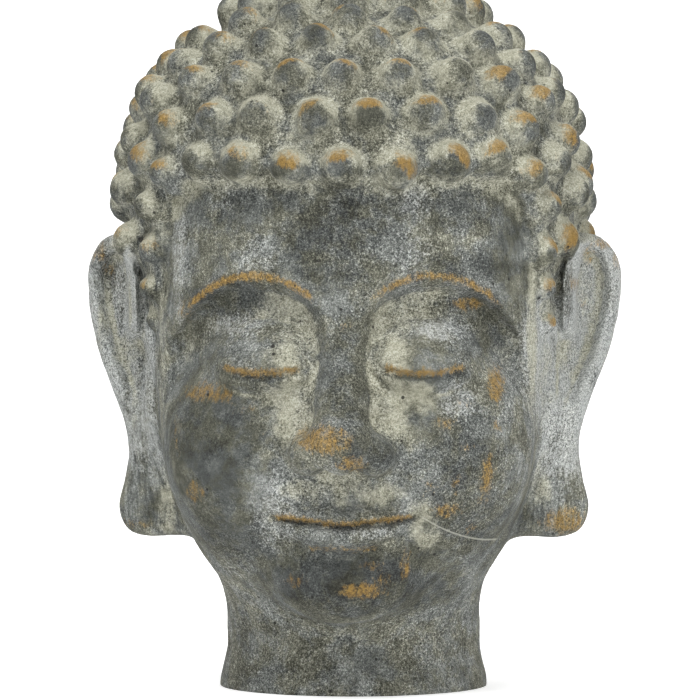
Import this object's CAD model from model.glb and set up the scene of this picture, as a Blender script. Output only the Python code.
"""Ornamental head of the Buddha, cast in cement and weathered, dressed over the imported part.

The head is carved again here, finer than the part's own solid, from the same shapes and sizes. Lengths are
in fingers, shares of the head's height: twelve from chin to hairline. It faces -Y, +Z is up, +X is the
viewer's right.
"""

import math

import bmesh
import bpy
import numpy as np
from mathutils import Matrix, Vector
from mathutils.kdtree import KDTree


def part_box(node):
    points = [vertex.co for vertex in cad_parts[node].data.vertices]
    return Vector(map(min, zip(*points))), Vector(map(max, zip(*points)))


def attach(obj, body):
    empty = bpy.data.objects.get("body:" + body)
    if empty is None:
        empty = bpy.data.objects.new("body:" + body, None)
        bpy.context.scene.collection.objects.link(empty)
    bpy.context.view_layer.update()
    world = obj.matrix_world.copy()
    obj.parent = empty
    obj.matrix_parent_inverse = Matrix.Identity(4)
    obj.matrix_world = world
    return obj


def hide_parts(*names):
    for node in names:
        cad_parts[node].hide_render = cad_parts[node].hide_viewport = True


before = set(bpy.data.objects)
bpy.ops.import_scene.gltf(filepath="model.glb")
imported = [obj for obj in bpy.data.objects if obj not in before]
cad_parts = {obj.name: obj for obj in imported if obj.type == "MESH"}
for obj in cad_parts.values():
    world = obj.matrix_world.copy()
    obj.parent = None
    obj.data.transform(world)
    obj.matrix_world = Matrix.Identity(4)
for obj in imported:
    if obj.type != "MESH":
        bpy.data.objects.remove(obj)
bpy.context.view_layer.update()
cad_low, cad_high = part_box("buddha_head")

HEIGHT_IN_FINGERS = 22.5

# Levels above the underside, in fingers
CHIN = 2.0
MOUTH = CHIN + 8 / 3
NOSE_BASE = CHIN + 4
EYES = CHIN + 7
BROWS = CHIN + 8
HAIRLINE = CHIN + 12
HAIR_WIDEST = 13.4
CROWN = 18.6
SIDEBURN_END = 9.5
NAPE_END = 4.9

# Half widths, and how far the middle of an eye is from the middle of the face, in fingers
FACE_HALF_WIDTH = 5.2
OPENING_HALF_WIDTH = 4.95
HAIR_HALF_WIDTH = 6.1
NECK_HALF_WIDTH = 3.46
EYE_MIDDLE = 2.12

# The curls of the hair, in fingers: how far apart, how wide at the foot and the top, how far they stand
# out, how softly they run into the hair and how far off its place each may stand. The sizes are shares of
# the usual one. The gaps are shares of the step: the closest curls, and the widest gap left.
CURL_STEP = 1.42
CURL_RADIUS = 0.68
CURL_TOP_RADIUS = 0.5
CURL_HEIGHT = 0.6
CURL_BLEND = 0.35
CURL_SHIFT = 0.08
CURL_SIZES = (0.92, 1.06)
CLOSEST_GAP = 0.74
WIDEST_GAP = 0.82
CAP_ROWS = 12
TOPKNOT_ROWS = 4

# The curls along the hairline and down the sideburn, from the middle outwards, as (distance from the middle,
# height, size): fingers, and a share of the usual size
HAIRLINE_CURLS = [
    (0, 13.95, 1), (1.4, 14.0, 1), (2.67, 14.15, 0.98), (3.86, 14.2, 0.92), (4.78, 13.85, 0.84),
    (5.2, 13.0, 0.76), (5.18, 11.9, 0.72), (5.16, 10.92, 0.68), (5.14, 10.02, 0.66),
]

# The grid's step in fingers, how many triangles the finished head has, and how many small chips
CLAY_STEP = 0.08
TRIANGLES = 185000
CHIPS = 150

# The middles of skull and topknot, that the rows of curls run round, and how far the skull's rows lean back
SKULL = np.array((0, 0.6, 12.4))
SKULL_TILT = math.radians(45)
TOPKNOT = np.array((0, 0.9, CROWN - 0.2))

# Soft spots seen from the front, each (x, z, half width, half height, strength), in fingers: rubbed ochre,
# pale lime, blue-grey dust, bare dark cement, and skin with little speckle
OCHRE = [
    (3.95, 8.3, 0.28, 0.6, 1.05), (3.15, 7.85, 0.3, 0.2, 0.7), (2.7, 7.3, 0.4, 0.22, 0.65),
    (4.0, 7.2, 0.13, 0.2, 0.7), (3.75, 6.0, 0.2, 0.6, 1.0), (2.25, 5.7, 0.2, 0.35, 0.75),
    (2.95, 5.7, 0.18, 0.35, 0.65), (3.2, 6.7, 0.3, 0.2, 0.5), (3.6, 5.4, 0.16, 0.35, 0.72),
    (2.7, 5.05, 0.5, 0.2, 0.9), (3.3, 4.6, 0.15, 0.3, 0.6), (5.8, 4.55, 0.8, 0.45, 0.95),
    (0.75, 3.6, 0.4, 0.18, 0.7), (1.6, 3.6, 0.14, 0.5, 0.95), (0.5, 2.95, 0.7, 0.25, 1.05),
    (-1.2, 3.2, 0.45, 0.25, 0.55), (-3.6, 8.1, 0.8, 0.35, 0.85), (-2.6, 7.7, 0.5, 0.15, 0.6),
    (-3.9, 5.5, 0.3, 0.35, 0.85), (-5.9, 4.45, 0.6, 0.2, 0.65), (-4.4, 7.0, 0.16, 0.8, 0.6),
    (3.2, 10.4, 0.45, 0.2, 1.0), (-0.45, 6.9, 0.9, 0.45, 1.0), (0.3, 6.3, 0.5, 0.3, 0.8),
    (0.1, 9.8, 0.2, 0.2, 0.6), (-4.2, 10.3, 0.3, 0.4, 0.6), (1.0, 3.2, 0.5, 0.3, 0.55),
    (-2.0, 6.9, 0.15, 0.2, 0.6), (6.05, 11.0, 0.2, 0.25, 0.8), (6.3, 10.45, 0.2, 0.2, 0.6),
    (6.45, 11.8, 0.25, 0.35, 0.7), (6.9, 12.1, 0.4, 0.2, 0.85), (7.25, 11.7, 0.15, 0.4, 0.75),
    (-7.0, 11.9, 0.3, 0.4, 0.75), (-6.7, 11.4, 0.25, 0.35, 0.7), (-5.3, 12.0, 0.3, 0.3, 0.75),
]
LIME = [
    (2.0, 8.0, 0.5, 0.6, 0.9), (-1.8, 8.1, 0.5, 0.6, 0.75), (1.5, 9.9, 0.4, 0.8, 0.65),
    (-1.4, 10.0, 0.35, 0.7, 0.6), (0.9, 5.5, 0.8, 0.3, 0.8), (-1.1, 5.6, 0.6, 0.35, 0.8),
    (2.1, 4.6, 0.5, 0.9, 0.85), (-2.0, 4.5, 0.4, 0.6, 0.4), (0.2, 3.9, 1.0, 0.15, 0.45),
    (4.9, 9.6, 0.16, 2.4, 1.0), (-4.9, 9.0, 0.22, 3.0, 0.6), (5.2, 5.3, 0.25, 0.5, 0.8),
    (-5.0, 5.0, 0.35, 0.9, 0.8), (4.6, 3.9, 0.6, 0.4, 0.7), (4.95, 12.4, 0.2, 1.2, 0.5),
    (-4.9, 12.2, 0.2, 1.4, 0.55), (6.5, 10.2, 0.35, 1.5, 0.5), (5.6, 8.7, 0.07, 0.9, 1.1),
    (6.4, 12.3, 0.5, 0.25, 0.9), (-6.3, 12.1, 0.35, 0.4, 0.9), (-6.3, 9.2, 0.25, 0.5, 1.0),
    (-6.0, 10.5, 0.1, 0.8, 0.9), (-6.85, 10.0, 0.2, 0.9, 0.7), (5.3, 8.6, 0.3, 1.2, 0.6),
    (-5.9, 7.6, 0.12, 1.0, 0.7), (5.35, 10.3, 0.3, 0.4, 0.9),
]
DUST = [
    (2.9, 7.9, 0.6, 0.5, 0.42), (2.6, 9.7, 0.9, 0.35, 0.55), (-2.9, 9.9, 0.8, 0.4, 0.4),
    (-1.9, 5.0, 0.7, 1.2, 0.45), (1.9, 12.0, 0.6, 0.7, 0.2), (-2.0, 11.8, 0.6, 0.5, 0.25),
    (-3.0, 3.7, 0.9, 0.7, 0.3), (0.4, 4.5, 1.0, 0.25, 0.4), (-1.2, 7.6, 0.25, 0.7, 0.55),
    (-4.4, 11.6, 0.25, 2.2, 0.45), (-0.4, 13.0, 0.5, 0.5, 0.3), (6.5, 10.4, 0.5, 1.6, 2.1),
    (1.9, 13.1, 0.45, 0.6, 0.6), (-3.1, 13.2, 0.3, 0.5, 0.4), (5.3, 9.0, 0.7, 2.0, 0.75),
    (6.1, 7.4, 0.4, 1.6, 0.9), (-6.4, 9.6, 0.5, 2.0, 0.8), (5.95, 6.2, 0.2, 0.4, 1.1),
    (-5.9, 11.3, 0.2, 0.7, 1.2),
]
DARK = [
    (-0.4, 12.3, 1.6, 1.4, 0.9), (-2.6, 13.0, 1.5, 0.6, 0.6), (-3.2, 10.6, 1.2, 0.5, 0.9),
    (3.4, 11.4, 1.2, 0.4, 0.8), (3.6, 9.8, 0.7, 0.8, 0.6), (-3.5, 6.6, 1.3, 1.7, 0.9),
    (-3.0, 4.3, 1.3, 1.0, 0.8), (0.3, 3.2, 2.6, 1.0, 1.3), (3.6, 4.4, 1.3, 1.2, 0.7),
    (0.7, 6.5, 0.8, 0.6, 0.8), (3.1, 6.4, 1.0, 0.8, 0.6), (0.1, 8.4, 0.5, 1.6, 0.6),
    (4.3, 12.6, 0.5, 0.9, 0.5), (2.6, 12.9, 1.6, 0.6, 0.7), (5.85, 10.8, 0.2, 1.2, 1.3),
    (7.05, 10.4, 0.2, 1.1, 0.4), (5.5, 9.2, 0.06, 0.5, 0.9), (6.6, 8.3, 0.15, 0.5, 0.8),
    (5.65, 7.0, 0.12, 0.15, 1.0), (-6.9, 11.6, 0.4, 0.8, 0.7), (-6.4, 10.2, 0.12, 0.7, 0.9),
    (-6.75, 11.3, 0.25, 0.5, 0.9), (-6.2, 8.0, 0.15, 0.8, 0.6), (-5.9, 5.2, 0.7, 1.0, 0.25),
    (-5.5, 7.2, 0.5, 1.6, 0.3), (-1.9, 13.2, 0.4, 0.7, 0.7), (0.1, 13.0, 0.35, 0.7, 0.8),
    (-5.75, 8.9, 0.12, 0.8, 0.8), (5.48, 6.6, 0.1, 0.15, 0.9), (-5.3, 14.2, 1.0, 1.2, 0.4),
]
CALM = [
    (-3.6, 6.4, 1.8, 2.4, 1.0), (4.4, 11.8, 0.6, 1.6, 1.0), (-5.6, 5.8, 1.0, 2.0, 1.0),
    (0.0, 3.3, 2.4, 0.8, 0.7), (-4.4, 11.0, 0.8, 2.4, 0.5), (5.0, 5.0, 0.8, 1.4, 0.6),
    (2.0, 8.2, 0.7, 1.4, 1.1), (-1.6, 7.8, 0.5, 1.2, 0.7), (1.0, 5.4, 1.2, 0.4, 0.6),
    (2.1, 4.6, 0.5, 0.9, 0.6),
]
# The largest pinholes as (x, z, radius)
PINHOLES = [(-5.55, 12.16, 0.09), (-1.8, 9.3, 0.06), (-1.78, 9.1, 0.05), (5.6, 9.1, 0.05)]

# Farther off than anything reaches, in fingers
FAR = 9.0

# The ear's outline seen from the front, as (distance from the middle, height) in fingers, from the top
# outwards
EAR_OUTLINE = [
    (5.9, 12.25), (6.55, 12.4), (7.1, 12.05), (7.38, 11.3), (7.3, 10.2), (7.0, 9.1), (6.6, 8.1),
    (6.28, 7.2), (6.19, 6.4), (6.32, 5.6), (6.46, 4.95), (6.3, 4.35), (5.8, 4.1), (5.0, 4.12),
    (4.1, 4.3), (3.9, 5.6), (4.3, 7.2), (4.85, 8.7), (5.3, 10.0), (5.5, 11.4),
]


# Blending
def smooth_min(a, b, blend):
    """The nearer of two shapes, with a fillet about as wide as blend where they meet."""
    overlap = np.maximum(blend - np.abs(a - b), 0) / blend
    return np.minimum(a, b) - overlap * overlap * blend / 4


def smooth_max(a, b, blend):
    return -smooth_min(-a, -b, blend)


def smooth_step(t):
    t = np.clip(t, 0, 1)
    return t * t * (3 - 2 * t)


def bump(t):
    """1 at t = 0, falling smoothly to 0 by about t = 2 on both sides."""
    return np.exp(-t * t)


# Plain shapes, each as the distance outside it
def ellipsoid(x, y, z, centre, radii):
    u, v, w = (x - centre[0]) / radii[0], (y - centre[1]) / radii[1], (z - centre[2]) / radii[2]
    near = np.sqrt(u * u + v * v + w * w)
    slope = np.sqrt((u / radii[0]) ** 2 + (v / radii[1]) ** 2 + (w / radii[2]) ** 2)
    return near * (near - 1) / np.maximum(slope, 1e-6)


def rounded_box(x, y, z, centre, radii, power):
    """A superellipsoid: an ellipsoid at power 2, squarer above."""
    u = np.abs((x - centre[0]) / radii[0])
    v = np.abs((y - centre[1]) / radii[1])
    w = np.abs((z - centre[2]) / radii[2])
    size = np.maximum((u**power + v**power + w**power) ** (1 / power), 1e-3)
    slopes = (side ** (power - 1) / radius for side, radius in zip((u, v, w), radii))
    slope = size ** (1 - power) * np.sqrt(sum(part * part for part in slopes))
    return (size - 1) / np.maximum(slope, 1e-3)


def rounded_cone(x, y, z, start, end, start_radius, end_radius):
    ax, ay, az = (e - s for s, e in zip(start, end))
    px, py, pz = x - start[0], y - start[1], z - start[2]
    t = np.clip((px * ax + py * ay + pz * az) / (ax * ax + ay * ay + az * az), 0, 1)
    away = np.sqrt((px - ax * t) ** 2 + (py - ay * t) ** 2 + (pz - az * t) ** 2)
    return away - (start_radius + (end_radius - start_radius) * t)


def smooth_outline(points, per_side):
    """A closed curve through the points, with per_side short lines for each of its sides."""
    p = np.array(points)
    before, after, later = np.roll(p, 1, 0), np.roll(p, -1, 0), np.roll(p, -2, 0)
    rows = []
    for t in np.arange(per_side) / per_side:
        square = (2 * before - 5 * p + 4 * after - later) * t**2
        cube = (3 * p - before - 3 * after + later) * t**3
        rows.append(0.5 * (2 * p + (after - before) * t + square + cube))
    return np.stack(rows, axis=1).reshape(-1, 2)


def outline_distance(u, w, outline):
    """How far (u, w) lies outside a closed outline, negative inside."""
    nearest = np.full(np.broadcast(u, w).shape, FAR * FAR, np.float32)
    inside = np.zeros(nearest.shape, bool)
    for (au, aw), (bu, bw) in zip(outline, np.roll(outline, -1, 0)):
        du, dw = bu - au, bw - aw
        t = np.clip(((u - au) * du + (w - aw) * dw) / (du * du + dw * dw), 0, 1)
        nearest = np.minimum(nearest, (u - au - t * du) ** 2 + (w - aw - t * dw) ** 2)
        inside ^= ((aw <= w) != (bw <= w)) & (u < au + du * (w - aw) / (dw if dw else 1))
    return np.where(inside, -1, 1) * np.sqrt(nearest)


class Clay:
    """A block of clay on a grid, from the low corner to the high one."""

    def __init__(self, low, high, step):
        self.step = step
        self.axes = []
        for a, b in zip(low, high):
            count = math.ceil((b - a) / step)
            self.axes.append((np.arange(count + 1) - count / 2) * step + (a + b) / 2)
        self.outside = np.full([len(axis) for axis in self.axes], FAR, np.float32)

    def near(self, low, high):
        """The window of the grid from low to high, with its x, y and z."""
        window = tuple(slice(*np.searchsorted(axis, (a, b))) for axis, a, b in zip(self.axes, low, high))
        x, y, z = (axis[w].astype(np.float32) for axis, w in zip(self.axes, window))
        return window, x[:, None, None], y[None, :, None], z[None, None, :]

    def add(self, shape, low, high, blend):
        window, x, y, z = self.near(low, high)
        self.outside[window] = smooth_min(self.outside[window], shape(x, y, z), blend)

    def cut(self, shape, low, high, blend):
        window, x, y, z = self.near(low, high)
        self.outside[window] = smooth_max(self.outside[window], -shape(x, y, z), blend)

    def press(self, relief, low, high):
        """Raises the surface by relief(x, y, z), or lowers it where that is negative."""
        window, x, y, z = self.near(low, high)
        self.outside[window] -= relief(x, y, z)


# The head's masses
def face_mass(x, y, z):
    """Forehead, cheeks, jaw and chin as one smooth egg, before the features."""
    side = np.abs(x)
    egg = rounded_box(x, y, z, (0, -1.15, 8.7), (FACE_HALF_WIDTH, 5.1, 7.0), 2.35)
    forehead = rounded_box(x, y, z, (0, -0.9, 11.4), (5.1, 4.95, 5.3), 2.5)
    cheek = ellipsoid(side, y, z, (2.3, -4.1, 6.4), (2.3, 1.95, 2.3))
    muzzle = ellipsoid(x, y, z, (0, -4.3, 5.1), (2.2, 1.8, 1.7))
    chin = ellipsoid(x, y, z, (0, -4.5, 3.3), (1.9, 1.65, 1.3))
    mass = smooth_min(egg, forehead, 0.8)
    mass = smooth_min(mass, cheek, 1.2)
    mass = smooth_min(mass, muzzle, 0.9)
    return smooth_min(mass, chin, 0.9)


def neck(x, y, z):
    across = np.sqrt((x / NECK_HALF_WIDTH) ** 2 + ((y - 0.3) / 3.7) ** 2)
    wall = (across - 1) * NECK_HALF_WIDTH
    return np.maximum(wall + 0.25 * smooth_step((z - 2) / 4) - 0.2 * smooth_step((1.2 - z) / 1.2), z - 7)


def face_opening(x, y, z):
    """Where there is no hair: inside the arch of the hairline, and under the ears down to the neck."""
    power = 8
    top = HAIRLINE - 0.1 - 0.3 * bump(x / 1.1)
    u, w = np.abs(x) / OPENING_HALF_WIDTH, np.maximum((z - 8.0) / (top - 8.0), 0)
    arch = ((u**power + w**power) ** (1 / power) - 1) * OPENING_HALF_WIDTH
    front = np.maximum(arch, y + 0.4)
    below_ear = smooth_max(z - SIDEBURN_END + 0 * x, y - 0.6 - 0.15 * (z - 5), 0.5)
    return smooth_min(front, below_ear, 0.6)


def hair(x, y, z):
    """The hair under the curls: a cap, open over the face, with a topknot."""
    half_height = np.where(z > HAIR_WIDEST, CROWN - HAIR_WIDEST, HAIR_WIDEST - 6.2)
    cap = rounded_box(x, y, z, (0, 0.45, HAIR_WIDEST), (HAIR_HALF_WIDTH, 6.45, half_height), 2.35)
    nape = ellipsoid(x, y, z, (0, 1.7, 9.2), (5.3, 4.9, 5.6))
    mass = smooth_max(smooth_min(cap, nape, 1.2), -face_opening(x, y, z), 0.3)
    topknot_height = HEIGHT_IN_FINGERS - CURL_HEIGHT - CROWN + 0.5
    topknot = ellipsoid(x, y, z, (0, TOPKNOT[1], CROWN - 0.5), (3.05, 3.05, topknot_height))
    return smooth_min(mass, topknot, 1.0)


def ear(x, y, z):
    """A long ear: a sheet leant outwards and back, its rim an arch round a valley that ends at the lobe."""
    side = np.abs(x)
    edge = outline_distance(side, z, smooth_outline(EAR_OUTLINE, 4))
    upper = smooth_step((z - 4.8) / 3.6)
    lean = 0.55 + 0.5 * upper
    middle = -1.0 - 0.45 * upper + (side - 4.4 - 0.9 * upper) * lean
    behind = (y - middle) / np.sqrt(1 + lean * lean)
    valley = 0.55 * smooth_step((-edge - 0.24) / 0.42) * smooth_step((z - 6.2) / 3.4)
    inner_rim = 5.9 + 0.16 * np.maximum(z - 10.8, 0) ** 2
    rim = 0.7 * smooth_step((0.3 - np.abs(side - inner_rim)) / 0.2) * smooth_step((z - 9.4) / 0.4)
    rim = rim * (1 - smooth_step((z - 11.9) / 0.5))
    fold = 0.14 * bump((side - 5.5) / 0.12) * smooth_step((z - 6.8) / 0.8) * smooth_step((9.4 - z) / 0.8)
    thickness = 0.36 + 0.05 * upper
    front = -behind - thickness + valley - rim - fold
    back = behind - thickness - 0.6 * smooth_step((6.9 - side) / 1.5)
    return smooth_max(smooth_max(front, back, 0.3), edge * 1.25, 0.5)


# The curls
def towards(polar, turn, tilt):
    """Unit vectors at the polar angle from an axis leant back by tilt, turned about it from the front."""
    polar, turn = np.broadcast_arrays(polar, turn)
    right = np.sin(polar) * np.sin(turn)
    front = np.sin(polar) * np.cos(turn)
    along = np.cos(polar)
    back = along * math.sin(tilt) - front * math.cos(tilt)
    up = along * math.cos(tilt) + front * math.sin(tilt)
    return np.stack([right, back, up], axis=-1)


def march(starts, along):
    """Where lines from the starting points first meet the hair; each step stops short of the surface."""
    points = np.array(starts, float)
    for _ in range(60):
        points += 0.8 * hair(*points.T)[:, None] * along
    return points


def outwards(points):
    """The hair's outward direction at each point."""
    slope = np.stack([hair(*(points + d).T) - hair(*(points - d).T) for d in 0.1 * np.eye(3)], axis=-1)
    return slope / np.linalg.norm(slope, axis=-1, keepdims=True)


def hairline_curls():
    """Where the hairline's own row of curls stands, both halves."""
    right = march([(x, -FAR, z) for x, z, size in HAIRLINE_CURLS], np.array((0, 1, 0)))
    return np.concatenate([right, right[1:] * (-1, 1, 1)])


def rows_of_curls(centre, tilt, turns, lowest, rows):
    """Rows from the lowest, a polar angle for each turn, up to the axis, every other one half a step on."""
    places = []
    for row in range(rows):
        along = towards(lowest * (1 - row / rows), turns, tilt)
        path = march(centre + 11 * along, -along)
        run = np.concatenate([[0], np.cumsum(np.linalg.norm(np.diff(path, axis=0), axis=1))])
        count = max(round(run[-1] / CURL_STEP), 1)
        at = np.arange(0.5 * (row % 2), count + 0.1) * run[-1] / count
        places.append(np.stack([np.interp(at, run, path[:, axis]) for axis in range(3)], axis=-1))
    return np.concatenate(places)


def everywhere(centre, count):
    """Points spread evenly over the hair, for the gaps between the rows."""
    n = np.arange(count) + 0.5
    along = towards(np.arccos(1 - 2 * n / count), n * math.pi * (1 + math.sqrt(5)), 0)
    return march(centre + 11 * along, -along)


def haired(points):
    """Which points have room for a curl: on hair, clear of the ears."""
    by_ear = ear(*points.T) < np.where(np.abs(points[:, 0]) < 5.5, 0.05, 0.45)
    return (face_opening(*points.T) > 0.2) & ~by_ear & (points[:, 2] > NAPE_END)


def with_mirror_image(point):
    """The point and its mirror image, or one point on the middle if they are close together."""
    if abs(point[0]) < CURL_STEP * 0.4:
        return np.array([point * (0, 1, 1)])
    return np.array([point, point * (-1, 1, 1)])


def distance_to(places, points):
    return np.linalg.norm(points[:, None] - places[None], axis=-1).min(axis=1)


def curl_places():
    """Where the curls stand, the left side mirroring the right."""
    half_turn = np.linspace(0, math.pi, 200)
    hairline = hairline_curls()
    line = hairline[: len(HAIRLINE_CURLS)] - SKULL
    front = line[:, 2] * math.sin(SKULL_TILT) - line[:, 1] * math.cos(SKULL_TILT)
    along = line[:, 2] * math.cos(SKULL_TILT) + line[:, 1] * math.sin(SKULL_TILT)
    polar = np.arctan2(np.hypot(line[:, 0], front), along)
    lowest = np.interp(half_turn, np.arctan2(line[:, 0], front), polar)
    cap = rows_of_curls(SKULL, SKULL_TILT, half_turn, lowest, CAP_ROWS)
    level = np.full(len(half_turn), math.radians(90))
    topknot = rows_of_curls(TOPKNOT, 0, half_turn, level, TOPKNOT_ROWS)
    top = march([(0, TOPKNOT[1], HEIGHT_IN_FINGERS)], np.array((0, 0, -1)))
    places = np.concatenate([top, hairline])
    rows = np.concatenate([topknot, cap])
    for point in rows[haired(rows)]:
        pair = with_mirror_image(point)
        if distance_to(places, pair).min() > CLOSEST_GAP * CURL_STEP:
            places = np.concatenate([places, pair])
    # The widest gaps first
    spare = everywhere(SKULL, 4000)
    spare = spare[haired(spare) & (spare[:, 0] > 0)]
    away = distance_to(places, spare)
    while away.max() > WIDEST_GAP * CURL_STEP:
        pair = with_mirror_image(spare[away.argmax()])
        places = np.concatenate([places, pair])
        away = np.minimum(away, distance_to(pair, spare))
    return places


def curl_sizes(count):
    """Each curl's share of the usual size: the top one, those of the hairline, then the rest."""
    right = [size for x, z, size in HAIRLINE_CURLS]
    return np.array([1] + right + right[1:] + [1] * (count - 2 * len(right)))


def curl(place, outward, size):
    """One curl: a rounded cone that stands on the hair."""
    start = place - outward * CURL_RADIUS * size * 0.5
    end = place + outward * (CURL_HEIGHT - CURL_TOP_RADIUS) * size

    def shape(x, y, z):
        return rounded_cone(x, y, z, start, end, CURL_RADIUS * size, CURL_TOP_RADIUS * size)

    return shape


# The face
def nose(x, y, z):
    bridge = rounded_cone(x, y, z, (0, -5.62, BROWS + 0.1), (0, -6.85, NOSE_BASE + 1), 0.62, 0.70)
    tip = ellipsoid(x, y, z, (0, -7.22, NOSE_BASE + 0.72), (0.74, 0.78, 0.70))
    wing = ellipsoid(np.abs(x), y, z, (0.86, -6.6, NOSE_BASE + 0.48), (0.52, 0.8, 0.52))
    return smooth_min(smooth_min(bridge, tip, 0.6), wing, 0.35)


def nostril(x, y, z):
    return ellipsoid(np.abs(x), y, z, (0.42, -7.1, NOSE_BASE - 0.05), (0.24, 0.38, 0.26))


def brow_arc(side):
    """The height of the brow's edge."""
    return BROWS + 1.0 - 1.25 * np.abs((side - 2.35) / 2.2) ** 2.2


def lid_line(side):
    return EYES - 0.42 + 0.2 * ((side - 2.1) / 1.15) ** 2


def mouth_line(side):
    return MOUTH + 0.16 * (side / 1.8) ** 2 - 0.06 * bump(side / 0.35)


def eyes(side, z):
    """Closed eyes under long brows."""
    below = brow_arc(side) - z
    across = smooth_step((side - 0.35) / 0.7) * (1 - smooth_step((side - 4.0) / 1.0))
    socket = -0.55 * smooth_step((below + 0.05) / 0.4) * (1 - smooth_step((below - 0.8) / 1.7)) * across
    along_brow = smooth_step((side - 0.4) / 0.6) * (1 - smooth_step((side - 4.2) / 0.6))
    ridge = 0.10 * bump((below + 0.12) / 0.2) * along_brow
    u, w = (side - EYE_MIDDLE) / 1.5, (z - EYES - 0.02) / 1.0
    ball = 0.5 * np.sqrt(np.maximum(1 - u * u - w * w, 0)) ** 1.3
    above = z - lid_line(side)
    along = smooth_step((1 - np.abs((side - EYE_MIDDLE) / 1.3)) / 0.25)
    lid = 0.11 * np.exp(-np.maximum(above, 0) / 0.35) * smooth_step(above / 0.07) * along
    slit = -0.07 * bump((above + 0.05) / 0.07) * along
    lower = 0.06 * bump((above + 0.25) / 0.13) * along
    return socket + ridge + ball + lid + slit + lower


def lips(side, z):
    reach = np.clip(1 - (side / 1.85) ** 2, 0, 1)
    line = mouth_line(side)
    bow = 0.46 + 0.12 * bump((side - 0.42) / 0.3) - 0.02 * side
    up = (z - line) / (bow * reach**0.7 + 1e-3)
    upper_lip = 0.30 * reach**0.6 * np.where(up > 0, np.clip(1 - up * up, 0, 1) ** 0.7, 0)
    down = (line - z) / (0.68 * reach**0.6 + 1e-3)
    lower_lip = 0.36 * reach**0.6 * np.where(down > 0, np.clip(1 - (1.7 * down - 0.7) ** 2, 0, 1) ** 0.6, 0)
    crease = -0.20 * bump((z - line) / 0.08) * smooth_step((1.95 - side) / 0.3)
    corner = -0.12 * bump((side - 1.9) / 0.25) * bump((z - line) / 0.25)
    return upper_lip + lower_lip + crease + corner


def face_relief(x, y, z):
    side = np.abs(x)
    below_nose = NOSE_BASE - z
    along_groove = smooth_step((0.9 - below_nose) / 0.2) * (1 - smooth_step((0.2 - below_nose) / 0.2))
    groove = -0.08 * bump(x / 0.2) * along_groove
    under_lip = -0.2 * bump((z - MOUTH + 0.95) / 0.28) * bump(x / 1.2)
    return smooth_step((-y - 2.0) / 2.0) * (eyes(side, z) + lips(side, z) + groove + under_lip)


def all_curls():
    """The curls' places, outward directions and sizes; no two were pressed quite alike."""
    places = curl_places()
    by_hand = np.random.default_rng(5)
    shifts = by_hand.uniform(-CURL_SHIFT, CURL_SHIFT, (len(places), 3))
    sizes = by_hand.uniform(*CURL_SIZES, len(places)) * curl_sizes(len(places))
    return places + shifts * sizes[:, None], outwards(places), sizes


def carve(step, curls):
    low = (-7.9, -8.4, -0.6)
    high = (7.9, 7.9, HEIGHT_IN_FINGERS + 0.5)
    clay = Clay(low, high, step)
    clay.add(face_mass, low, high, 0.1)
    clay.add(neck, low, high, 0.9)
    clay.add(nose, (-3, -8.4, 4), (3, -4, 12), 0.45)
    clay.press(face_relief, (-6, -8.4, 2), (6, -1.5, 12.5))
    clay.cut(nostril, (-1.5, -8.2, 5), (1.5, -5.5, 7), 0.15)
    clay.add(hair, low, high, 0.2)
    clay.add(ear, (3, -4, 3), (8, 4, 13), 0.35)
    clay.add(ear, (-8, -4, 3), (-3, 4, 13), 0.35)
    for place, outward, size in zip(*curls):
        clay.add(curl(place, outward, size), place - 1.6, place + 1.6, CURL_BLEND * size)
    return clay


# From clay to mesh
CORNERS = np.array([(i, j, k) for i in (0, 1) for j in (0, 1) for k in (0, 1)])
EDGES = [(a, b) for a in range(8) for b in range(a + 1, 8) if np.abs(CORNERS[a] - CORNERS[b]).sum() == 1]


def fill_pinches(clay):
    """Fills the grid points where the surface would touch itself along an edge or in a point."""
    outside = clay.outside
    whole, low, high = slice(None), slice(None, -1), slice(1, None)
    ends = {0: low, 1: high}
    pinched = True
    while pinched:
        inside = outside < 0
        fill = np.zeros_like(inside)
        for axes in ((0, 1), (0, 2), (1, 2)):
            corners = []
            for i, j in ((0, 0), (1, 0), (1, 1), (0, 1)):
                window = [whole] * 3
                window[axes[0]], window[axes[1]] = ends[i], ends[j]
                corners.append(tuple(window))
            a, b, c, d = (inside[window] for window in corners)
            crossed = (a == c) & (b == d) & (a != b)
            for window in corners:
                fill[window] |= crossed
        windows = [tuple(ends[n] for n in corner) for corner in CORNERS]
        within = sum(inside[window].astype(np.int8) for window in windows)
        for first, last in ((0, 7), (1, 6), (2, 5), (3, 4)):
            a, b = inside[windows[first]], inside[windows[last]]
            crossed = (within == 2) & a & b | (within == 6) & ~a & ~b
            for window in windows:
                fill[window] |= crossed
        fill &= ~inside
        outside[fill] = -0.02 * clay.step
        pinched = fill.any()


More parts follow.
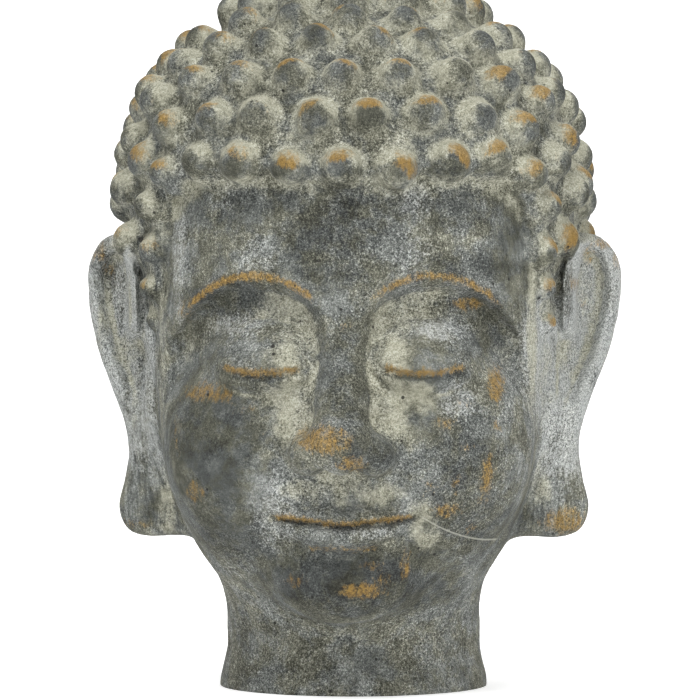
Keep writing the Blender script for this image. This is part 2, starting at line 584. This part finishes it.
def skin(clay):
    """The surface as points and four-sided faces, with a point in each cell of the grid that it crosses."""
    inside = clay.outside < 0
    shape = [n - 1 for n in inside.shape]
    within = sum(
        inside[i : i + shape[0], j : j + shape[1], k : k + shape[2]].astype(np.int8) for i, j, k in CORNERS
    )
    cells = np.argwhere((within > 0) & (within < 8))
    number = np.full(shape, -1, np.int32)
    number[tuple(cells.T)] = np.arange(len(cells))
    depth = np.stack([clay.outside[tuple((cells + corner).T)] for corner in CORNERS], axis=1)
    total = np.zeros((len(cells), 3))
    crossings = np.zeros(len(cells))
    for a, b in EDGES:
        crossed = (depth[:, a] < 0) != (depth[:, b] < 0)
        share = np.where(crossed, depth[:, a] / np.where(crossed, depth[:, a] - depth[:, b], 1), 0)
        point = CORNERS[a] + share[:, None] * (CORNERS[b] - CORNERS[a])
        total += np.where(crossed[:, None], point, 0)
        crossings += crossed
    low = np.array([axis[0] for axis in clay.axes])
    points = low + (cells + total / crossings[:, None]) * clay.step
    faces = []
    for axis in range(3):
        one, two = (axis + 1) % 3, (axis + 2) % 3
        ahead = np.moveaxis(inside, axis, 0)
        turns = np.moveaxis(ahead[1:] != ahead[:-1], 0, axis)
        at = np.argwhere(turns)
        at = at[(at[:, one] > 0) & (at[:, two] > 0) & (at[:, one] < shape[one]) & (at[:, two] < shape[two])]
        leaves = inside[tuple(at.T)]
        ring = []
        for step_one, step_two in ((-1, -1), (0, -1), (0, 0), (-1, 0)):
            cell = at.copy()
            cell[:, one] += step_one
            cell[:, two] += step_two
            ring.append(number[tuple(cell.T)])
        ring = np.stack(ring, axis=1)
        faces.append(np.where(leaves[:, None], ring, ring[:, ::-1]))
    return points, np.concatenate(faces)


# Weathering of the clay
def unevenness(clay, size, chance):
    """Soft hills and hollows about size fingers across all over the clay, from -1 to 1."""
    ways = []
    for axis in clay.axes:
        at = (axis - axis[0]) / size
        knot = np.floor(at).astype(int)
        share = smooth_step(at - knot)
        way = np.zeros((len(axis), knot[-1] + 2), np.float32)
        way[np.arange(len(axis)), knot] = 1 - share
        way[np.arange(len(axis)), knot + 1] = share
        ways.append(way)
    knots = chance.uniform(-1, 1, [way.shape[1] for way in ways]).astype(np.float32)
    return np.einsum("ai,bj,ck,ijk->abc", *ways, knots, optimize=True)


def weather(clay):
    """Unevenness of a few millimetres and small chips, which a casting of cement has."""
    chance = np.random.default_rng(11)
    for size, height in ((1.1, 0.022), (0.45, 0.012), (0.2, 0.008)):
        clay.outside -= height * unevenness(clay, size, chance)
    crossings = np.argwhere((clay.outside[1:] < 0) != (clay.outside[:-1] < 0))
    for cell in crossings[chance.integers(len(crossings), size=CHIPS)]:
        place = np.array([axis[i] for axis, i in zip(clay.axes, cell)])
        radius = chance.uniform(0.08, 0.2)
        depth = chance.uniform(0.03, 0.08)
        x, y, z = place
        # None on eyes, nose and mouth
        if y < -3.2 and abs(x) < 3.6 and 3.4 < z < 11:
            continue
        clay.press(
            lambda u, v, w: -depth * bump(np.sqrt((u - x) ** 2 + (v - y) ** 2 + (w - z) ** 2) / radius),
            place - 3 * radius, place + 3 * radius,
        )


# What the weather left where: shares from 0 to 1 at each point of the mesh, which the material reads
def averaged(field, reach):
    """The field averaged over reach cells to each side along each axis, twice for soft edges."""
    for axis in (0, 1, 2, 0, 1, 2):
        pad = [(0, 0)] * 3
        pad[axis] = (reach + 1, reach)
        total = np.moveaxis(np.cumsum(np.pad(field, pad, "edge"), axis=axis, dtype=np.float64), axis, 0)
        width = 2 * reach + 1
        field = np.moveaxis(((total[width:] - total[:-width]) / width).astype(np.float32), 0, axis)
    return field


def read_at(clay, field, points):
    """The grid's field read between its own points."""
    at = (points - [axis[0] for axis in clay.axes]) / clay.step
    cell = np.clip(np.floor(at).astype(int), 0, np.array(field.shape) - 2)
    share = at - cell
    total = np.zeros(len(points))
    for corner in CORNERS:
        total += np.prod(np.where(corner, share, 1 - share), axis=1) * field[tuple((cell + corner).T)]
    return total


def solid_around(clay, points, radius):
    """How far cement fills the space round each point: 0.5 where flat, more in hollows, less on ridges."""
    solid = np.clip(0.5 - clay.outside / clay.step, 0, 1)
    return read_at(clay, averaged(solid, max(round(radius / clay.step), 1)), points)


def patches(x, z, spots):
    """Soft spots, each (x, z, half width, half height, strength), seen from the front."""
    total = np.zeros(len(x))
    for at_x, at_z, across, up, strength in spots:
        total = np.maximum(total, strength * bump(((x - at_x) / across) ** 2 + ((z - at_z) / up) ** 2))
    return total


def curl_marks(points, curls):
    """Where the curls are, and on each a pale rim, a crescent of ochre that leans its own way, a bare tip."""
    places, directions, sizes = curls
    tree = KDTree(len(places))
    for index, place in enumerate(places + 0.25 * directions):
        tree.insert(place, index)
    tree.balance()
    found = [tree.find_n(point, 2) for point in points]
    nearest = np.array([first[1] for first, second in found])
    # 0 where two curls are equally near, so that no edge shows between them
    apart = smooth_step(np.array([second[2] - first[2] for first, second in found]) / 0.3)
    away = points - places[nearest]
    along = (away * directions[nearest]).sum(axis=1)
    aside = np.linalg.norm(away - along[:, None] * directions[nearest], axis=1)
    size = sizes[nearest]
    chance = np.random.default_rng(23)
    on_curl = apart * smooth_step((along / size + 0.1) / 0.3) * smooth_step((1.0 - aside / size) / 0.35)
    # How far each point is above and beside its curl's middle, seen along the curl
    tops = np.array([0, -0.2, 1.0]) - directions * (directions[:, 2:] - 0.2 * directions[:, 1:2])
    tops /= np.linalg.norm(tops, axis=1)[:, None] + 1e-6
    above = (away * tops[nearest]).sum(axis=1) / size
    beside = (away * np.cross(directions, tops)[nearest]).sum(axis=1) / size
    wide = aside / size
    upper = smooth_step((above / (wide + 0.05) + 0.3) / 1.1)
    rim = on_curl * smooth_step((wide - 0.22) / 0.2) * (0.35 + 0.65 * upper)
    lean = chance.uniform(-1.1, 1.1, len(places))[nearest]
    leaned = above * np.cos(lean) + beside * np.sin(lean)
    often = chance.uniform(0, 1, len(places)) < 0.75
    rubbed = np.where(often, chance.uniform(0.75, 1.15, len(places)), 0.3)[nearest]
    leaned_upper = smooth_step((leaned / (wide + 0.05) + 0.3) / 1.1)
    crescent = on_curl * bump((wide - 0.28) / 0.26) * leaned_upper * rubbed
    bare = chance.uniform(0.4, 1, len(places))[nearest]
    tip = on_curl * bump(np.hypot(beside, above + 0.12) / 0.3) * bare
    return on_curl, rim, crescent, tip


def weathering(clay, points, normals, curls):
    """The shares at each point, under the names by which the material reads them."""
    x, y, z = points.T
    side = np.abs(x)
    front = smooth_step((-y - 0.5) / 1.5)
    to_right = np.clip(x / 3, -1, 1)
    up = np.maximum(normals[:, 2], 0)
    fine = solid_around(clay, points, 0.16)
    broad = solid_around(clay, points, 0.6)
    on_curl, rim, crescent, tip = curl_marks(points, curls)
    at_ear = smooth_step((0.3 - ear(x, y, z)) / 0.3)
    ahead = np.maximum(front, at_ear)
    # The hair ends above the ears in front, and at the nape behind them
    behind = smooth_step((y - 1.0) / 1.0) * smooth_step((z - 5.3) / 0.4)
    above_nape = np.maximum(smooth_step((z - 9.3) / 0.6), behind)
    on_hair = smooth_step(face_opening(x, y, z) / 0.3) * above_nape * (1 - at_ear)
    # Ochre on brows, lids, lips and curls
    brow = bump((brow_arc(side) - z + 0.12) / 0.16) * smooth_step((side - 0.5) / 0.5)
    brow = np.where(x < 0, 1.15, 0.95) * (brow * smooth_step((4.4 - side) / 0.5))
    from_eye = np.abs(side - EYE_MIDDLE)
    lid = bump((z - lid_line(side) - 0.02) / 0.15) * smooth_step((1 - from_eye / 1.15) / 0.2)
    lip = bump((z - mouth_line(side) - 0.08) / 0.12) * smooth_step((2.0 - side) / 0.3)
    lower_lip = bump((z - MOUTH + 0.62) / 0.12) * smooth_step((1.1 - side) / 0.3)
    ochre = ahead * np.maximum.reduce([brow, lid, lip, 0.7 * lower_lip, patches(x, z, OCHRE)])
    ochre = np.maximum(ochre, (1.2 + 0.15 * to_right) * crescent)
    # Lime lies in the hollows and on what looks up
    nose_flank = bump((side - 1.35) / 0.5) * smooth_step((z - 6.2) / 1.0) * smooth_step((10.2 - z) / 1.0)
    outer_socket = front * smooth_step((side - 2.2) / 0.8) * smooth_step((z - 9.2) / 0.6) * (z < 12.6)
    lime = np.maximum.reduce([
        smooth_step((broad - 0.53) / 0.14) * (1 - 0.7 * outer_socket) * (1 - 0.25 * front),
        0.8 * smooth_step((fine - 0.53) / 0.12) * (1 - 0.5 * outer_socket),
        0.9 * front * nose_flank,
        0.85 * ahead * patches(x, z, LIME),
        0.75 * front * bump((z - 13.55) / 0.3) * smooth_step((4.7 - side) / 0.5),
        on_hair * (0.45 + 0.05 * to_right + 0.62 * rim + 0.1 * smooth_step(up / 0.6)) * (1 - 0.9 * tip),
    ])
    # Blue-grey dust on the ears and in patches
    dust = at_ear * smooth_step((z - 4.6) / 2.5) * np.where(x > 0, 0.8, 0.6)
    dust = np.maximum(dust, ahead * patches(x, z, DUST))
    # Dark where hands and rain have bared the cement, and in the deepest lines
    dark = np.maximum.reduce([
        ahead * patches(x, z, DARK),
        1.1 * tip,
        1.2 * front * bump((z - mouth_line(side)) / 0.08) * smooth_step((2.0 - side) / 0.2),
        0.8 * front * bump((z - MOUTH + 0.95) / 0.2) * bump(x / 1.1),
        0.9 * front * bump((z - lid_line(side) + 0.13) / 0.08) * smooth_step((1 - from_eye / 1.2) / 0.2),
        0.45 * on_hair * (1 - on_curl) * smooth_step((broad - 0.5) / 0.1),
        0.35 * on_curl * smooth_step((-0.1 - normals[:, 2]) / 0.6),
    ])
    streaks = smooth_step((side - 4.0) / 1.0) * smooth_step((12.5 - z) / 1.5)
    streaks = np.maximum(streaks, 0.6 * front * smooth_step((z - 11.2) / 0.6) * smooth_step((13.9 - z) / 0.4))
    calm = np.maximum(ahead * patches(x, z, CALM), 0.5 * on_curl)
    return {"ochre": ochre, "lime": lime, "dust": dust, "dark": dark, "streaks": streaks, "calm": calm}


def dressed_mesh():
    curls = all_curls()
    clay = carve(CLAY_STEP, curls)
    weather(clay)
    fill_pinches(clay)
    points, faces = skin(clay)
    finger = (cad_high.z - cad_low.z) / points[:, 2].max()
    mesh = bpy.data.meshes.new("buddha_head_cement")
    mesh.from_pydata((points * finger).tolist(), [], faces.tolist())
    mesh.validate()
    head = bpy.data.objects.new("buddha_head_cement", mesh)
    bpy.context.scene.collection.objects.link(head)
    thin = head.modifiers.new("thin out", "DECIMATE")
    thin.ratio = TRIANGLES / (2 * len(faces))
    head.data = bpy.data.meshes.new_from_object(head.evaluated_get(bpy.context.evaluated_depsgraph_get()))
    head.modifiers.clear()
    cut_flat(head.data)
    count = len(head.data.vertices)
    place, normal = np.zeros(count * 3), np.zeros(count * 3)
    head.data.vertices.foreach_get("co", place)
    head.data.vertices.foreach_get("normal", normal)
    shares = weathering(clay, place.reshape(-1, 3) / finger, normal.reshape(-1, 3), curls)
    for name, share in shares.items():
        head.data.attributes.new(name, "FLOAT", "POINT").data.foreach_set("value", share.astype(np.float32))
    return head, finger


def cut_flat(mesh):
    """Saws the neck off level at z = 0 and closes the underside."""
    shape = bmesh.new()
    shape.from_mesh(mesh)
    everything = shape.verts[:] + shape.edges[:] + shape.faces[:]
    bmesh.ops.bisect_plane(shape, geom=everything, plane_co=(0, 0, 0), plane_no=(0, 0, -1), clear_outer=True)
    rim = [edge for edge in shape.edges if edge.is_boundary]
    bmesh.ops.triangle_fill(shape, edges=rim, use_beauty=True, normal=(0, 0, -1))
    bmesh.ops.triangulate(shape, faces=shape.faces[:])
    shape.to_mesh(mesh)
    shape.free()
    mesh.shade_smooth()
    mesh.set_sharp_from_angle(angle=math.radians(75))


# Material
class Paint:
    """Builds a material's nodes; each call returns the new node's output."""

    def __init__(self, material):
        self.tree = material.node_tree

    def put(self, kind, inputs, output=0, **settings):
        node = self.tree.nodes.new("ShaderNode" + kind)
        for key, value in settings.items():
            setattr(node, key, value)
        for key, value in inputs.items():
            if isinstance(value, bpy.types.NodeSocket):
                self.tree.links.new(value, node.inputs[key])
            else:
                node.inputs[key].default_value = value
        return node.outputs[output]

    def math(self, operation, *values):
        return self.put("Math", dict(enumerate(values)), operation=operation)

    def total(self, *terms):
        """The sum of (value, factor) terms and plain numbers."""
        result = sum(term for term in terms if not isinstance(term, tuple))
        for value, factor in (term for term in terms if isinstance(term, tuple)):
            result = self.math("MULTIPLY_ADD", value, factor, result)
        return result

    def step(self, value, low, high, top=1.0):
        """Rises softly from 0 to top as the value goes from low to high."""
        inputs = {"Value": value, "From Min": low, "From Max": high, "To Max": top}
        return self.put("MapRange", inputs, interpolation_type="SMOOTHSTEP")

    def noise(self, where, scale, detail, roughness=0.6):
        inputs = {"Vector": where, "Scale": scale, "Detail": detail, "Roughness": roughness}
        return self.put("TexNoise", inputs)

    def fainter(self, noise, share):
        """Noise with that share of its swing about 0.5."""
        swing = self.math("MULTIPLY", self.total((noise, 1.0), -0.5), share)
        return self.total((swing, 1.0), 0.5)

    def pits(self, where, scale, often, size):
        """1 in round pits, scattered one to a cell in some of the cells."""
        inputs = {"Vector": where, "Scale": scale}
        lot = self.put("SeparateColor", {0: self.put("TexVoronoi", inputs, output=1)})
        radius = self.math("MULTIPLY", self.step(lot, 1 - often, 1.0), size)
        return self.step(self.math("SUBTRACT", radius, self.put("TexVoronoi", inputs)), 0.0, 0.03)

    def share(self, name):
        return self.put("Attribute", {}, output=2, attribute_name=name)

    def mix(self, factor, under, over):
        return self.put("Mix", {0: factor, 6: under, 7: over}, output=2, data_type="RGBA")

    def ramp(self, value, *stops):
        """A colour ramp of (position, colour) stops."""
        node = self.tree.nodes.new("ShaderNodeValToRGB")
        self.tree.links.new(value, node.inputs[0])
        elements = node.color_ramp.elements
        while len(elements) < len(stops):
            elements.new(0.5)
        for element, (position, colour) in zip(elements, stops):
            element.position = position
            element.color = colour
        return node.outputs[0]


def tone(red, green, blue):
    """A colour given as it looks on a screen, from 0 to 255."""
    return tuple(((v / 255 + 0.055) / 1.055) ** 2.4 for v in (red, green, blue)) + (1.0,)


def weathered_cement(finger):
    material = bpy.data.materials.new("weathered cement")
    material.use_nodes = True
    paint = Paint(material)
    shader = material.node_tree.nodes["Principled BSDF"]
    place = paint.put("TexCoord", {}, output=3)
    # Places in millimetres, and the same squeezed in height where rain has drawn streaks
    mm = paint.put("VectorMath", {0: place, "Scale": 1000.0}, operation="SCALE")
    drawn = paint.put("VectorMath", {0: mm, 1: (1.0, 1.0, 0.14)}, operation="MULTIPLY")
    broad = paint.noise(mm, 0.035, 5)
    patch = paint.noise(mm, 0.13, 5, 0.62)
    blotch = paint.noise(mm, 0.3, 4, 0.65)
    fleck = paint.noise(mm, 1.0, 3, 0.8)
    grain = paint.noise(mm, 2.1, 2, 0.7)
    streak = paint.noise(drawn, 0.5, 4, 0.7)
    drawn_less = paint.put("VectorMath", {0: mm, 1: (1.0, 1.0, 0.4)}, operation="MULTIPLY")
    scratchy = paint.noise(drawn_less, 0.45, 4, 0.75)
    ochre, lime, dust = paint.share("ochre"), paint.share("lime"), paint.share("dust")
    dark, streaks = paint.share("dark"), paint.share("streaks")
    # Where the skin is calm, its speckle is faint
    calm, here_and_there = paint.share("calm"), paint.step(paint.noise(mm, 0.06, 3), 0.47, 0.62)
    keen = paint.total((calm, -0.6), (here_and_there, -0.3), 1.1)
    fleck, grain = paint.fainter(fleck, keen), paint.fainter(grain, keen)
    # Bare cement, cooler in some places and warmer in others
    streaky = paint.math("MULTIPLY", paint.total((streak, 1.0), -0.5), streaks)
    depth = paint.total(
        (broad, 0.36), (patch, 0.75), (fleck, 1.45), (grain, 1.4), (streaky, 0.9), (dark, -0.22),
        (dust, 0.08), -1.46,
    )
    warm = paint.ramp(
        depth, (0.1, tone(36, 36, 30)), (0.36, tone(73, 74, 64)), (0.56, tone(103, 103, 91)),
        (0.78, tone(143, 143, 129)), (1.0, tone(194, 193, 176)),
    )
    cool = paint.ramp(
        depth, (0.1, tone(35, 37, 37)), (0.36, tone(72, 75, 73)), (0.56, tone(102, 105, 101)),
        (0.78, tone(142, 145, 141)), (1.0, tone(192, 195, 190)),
    )
    colour = paint.mix(paint.step(paint.noise(mm, 0.07, 4, 0.7), 0.4, 0.6), warm, cool)
    # Blue-grey dust
    dusty = paint.total((dust, 0.87), (blotch, 0.9), (streaky, 0.7), (fleck, 1.2), (dark, -0.3), -1.02)
    dusty = paint.step(dusty, 0.1, 0.72, 0.8)
    dust_colour = paint.ramp(
        paint.total((fleck, 1.5), (grain, 1.6), -1.05),
        (0.15, tone(70, 72, 70)), (0.4, tone(142, 145, 143)), (0.8, tone(212, 215, 212)),
    )
    colour = paint.mix(dusty, colour, dust_colour)
    # Lime, pitted where it is thick
    limy = paint.total(
        (lime, 0.85), (patch, 0.9), (blotch, 0.6), (fleck, 0.85), (streaky, 0.6), (dark, -0.35), -1.145
    )
    limy = paint.step(limy, 0.2, 0.85, 0.85)
    lime_colour = paint.ramp(
        paint.total((fleck, 1.3), (grain, 1.6), (blotch, 0.5), (limy, 0.12), -1.3),
        (0.06, tone(60, 58, 44)), (0.28, tone(130, 129, 110)), (0.55, tone(169, 168, 150)),
        (0.9, tone(204, 204, 191)),
    )
    colour = paint.mix(limy, colour, lime_colour)
    # Ochre on what stands out
    rusty = paint.total((ochre, 1.0), (scratchy, 2.3), (fleck, 1.0), (grain, 0.7), -2.15)
    rusty = paint.step(rusty, 0.3, 1.1, 0.84)
    ochre_colour = paint.ramp(
        paint.total((fleck, 1.0), (grain, 1.1), -0.55),
        (0.2, tone(76, 59, 30)), (0.5, tone(130, 102, 48)), (0.8, tone(180, 146, 74)),
    )
    colour = paint.mix(rusty, colour, ochre_colour)
    # A thin pale scratch across the jaw, a curve in fingers that is seen only in front
    apart = paint.put("SeparateXYZ", {0: mm}), paint.put("SeparateXYZ", {0: mm}, output=2)
    across, height = (paint.math("MULTIPLY", value, 0.001 / finger) for value in apart)
    ahead = paint.step(paint.put("SeparateXYZ", {0: mm}, output=1), -20.0, -40.0)
    from_end = paint.total((across, -1.0), 4.04)
    curved = paint.math("MULTIPLY", from_end, from_end)
    off = paint.math("ABSOLUTE", paint.total((curved, 0.17), (height, -1.0), 4.19))
    scratch = paint.math("MULTIPLY", paint.step(off, 0.038, 0.008), paint.step(from_end, 0.0, 0.15))
    scratch = paint.math("MULTIPLY", scratch, paint.step(from_end, 2.1, 1.9))
    scratch = paint.math("MULTIPLY", scratch, paint.math("MULTIPLY", ahead, 0.5))
    colour = paint.mix(scratch, colour, tone(176, 176, 164))
    # Pinholes
    hole = paint.pits(mm, 0.17, 0.38, 0.13)
    hole = paint.math("MAXIMUM", hole, paint.math("MULTIPLY", paint.pits(mm, 0.42, 0.55, 0.17), limy))
    for at_x, at_z, size in PINHOLES:
        aside, aloft = paint.total((across, 1.0), -at_x), paint.total((height, 1.0), -at_z)
        square = paint.math("MULTIPLY_ADD", aside, aside, paint.math("MULTIPLY", aloft, aloft))
        away = paint.math("SQRT", square)
        pit = paint.math("MULTIPLY", paint.step(away, size, 0.6 * size), ahead)
        hole = paint.math("MAXIMUM", hole, pit)
    colour = paint.mix(paint.math("MULTIPLY", hole, 0.85), colour, tone(30, 29, 27))
    # A matt skin with grain, crust and pinholes in relief, in millimetres
    relief = paint.total((patch, 0.7), (blotch, 0.5), (fleck, 0.5), (grain, 0.22), (limy, 0.12), (hole, -0.5))
    bumps = paint.put("Bump", {"Strength": 0.8, "Distance": 0.001, "Height": relief})
    rough = paint.total((depth, 0.1), (rusty, -0.1), 0.86)
    for socket, value in (("Base Color", colour), ("Normal", bumps), ("Roughness", rough)):
        material.node_tree.links.new(value, shader.inputs[socket])
    shader.inputs["Specular IOR Level"].default_value = 0.3
    return material


# Studio
def backdrop():
    """A pale floor that turns up into a wall behind the head, in metres."""
    half_width, reach, height = 5.0, 5.0, 5.0
    floor_end, radius = 2.6, 1.0
    profile = [(-reach, 0.0), (floor_end, 0.0)]
    for degrees in range(5, 91, 5):
        angle = math.radians(degrees)
        profile.append((floor_end + radius * math.sin(angle), radius - radius * math.cos(angle)))
    profile.append((floor_end + radius, height))
    corners = [(x, y, z) for y, z in profile for x in (-half_width, half_width)]
    faces = [(n, n + 1, n + 3, n + 2) for n in range(0, len(corners) - 2, 2)]
    mesh = bpy.data.meshes.new("backdrop")
    mesh.from_pydata(corners, [], faces)
    mesh.shade_smooth()
    material = bpy.data.materials.new("pale paper")
    material.use_nodes = True
    shader = material.node_tree.nodes["Principled BSDF"]
    shader.inputs["Base Color"].default_value = (0.9, 0.9, 0.9, 1)
    shader.inputs["Roughness"].default_value = 0.9
    shader.inputs["Emission Color"].default_value = (1, 1, 1, 1)
    shader.inputs["Emission Strength"].default_value = 0.45
    mesh.materials.append(material)
    sheet = bpy.data.objects.new("backdrop", mesh)
    bpy.context.scene.collection.objects.link(sheet)


def soft_light(name, place, aim, size, power):
    data = bpy.data.lights.new(name, "AREA")
    data.energy = power
    data.size = size
    light = bpy.data.objects.new(name, data)
    bpy.context.scene.collection.objects.link(light)
    light.location = place
    light.rotation_euler = (aim - Vector(place)).to_track_quat("-Z", "Y").to_euler()


def camera(finger):
    """Level with the eyes, a little to the right of the head's middle, as the photograph was taken."""
    distance = 1.6
    yaw = math.radians(2.5)
    sensor_width = 36
    # A picture of 700 pixels with 36.4 of them to a finger
    fingers_across = 700 / 36.4
    picture_middle = Vector((-0.08, 0, 9.2)) * finger
    back = Vector((math.sin(yaw), -math.cos(yaw), 0))
    data = bpy.data.cameras.new("camera")
    data.sensor_width = sensor_width
    data.lens = sensor_width * distance / (fingers_across * finger)
    eye = bpy.data.objects.new("camera", data)
    bpy.context.scene.collection.objects.link(eye)
    eye.location = picture_middle + back * distance
    eye.rotation_euler = (-back).to_track_quat("-Z", "Y").to_euler()
    bpy.context.scene.camera = eye


def studio(finger):
    backdrop()
    middle = Vector((0, 0, 0.5 * (cad_low.z + cad_high.z)))
    soft_light("key", (-0.2, -1.0, 1.6), middle, 0.9, 27)
    soft_light("fill", (1.0, -1.4, 0.5), middle, 1.2, 11)
    soft_light("back wall", (0, 1.2, 2.8), Vector((0, 3.4, 0.4)), 2.0, 60)
    world = bpy.data.worlds.new("studio")
    bpy.context.scene.world = world
    world.use_nodes = True
    world.node_tree.nodes["Background"].inputs["Color"].default_value = (1, 1, 1, 1)
    world.node_tree.nodes["Background"].inputs["Strength"].default_value = 0.35
    bpy.context.scene.view_settings.view_transform = "Standard"
    camera(finger)


head, finger = dressed_mesh()
head.data.materials.append(weathered_cement(finger))
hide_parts("buddha_head")
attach(head, "root")
studio(finger)
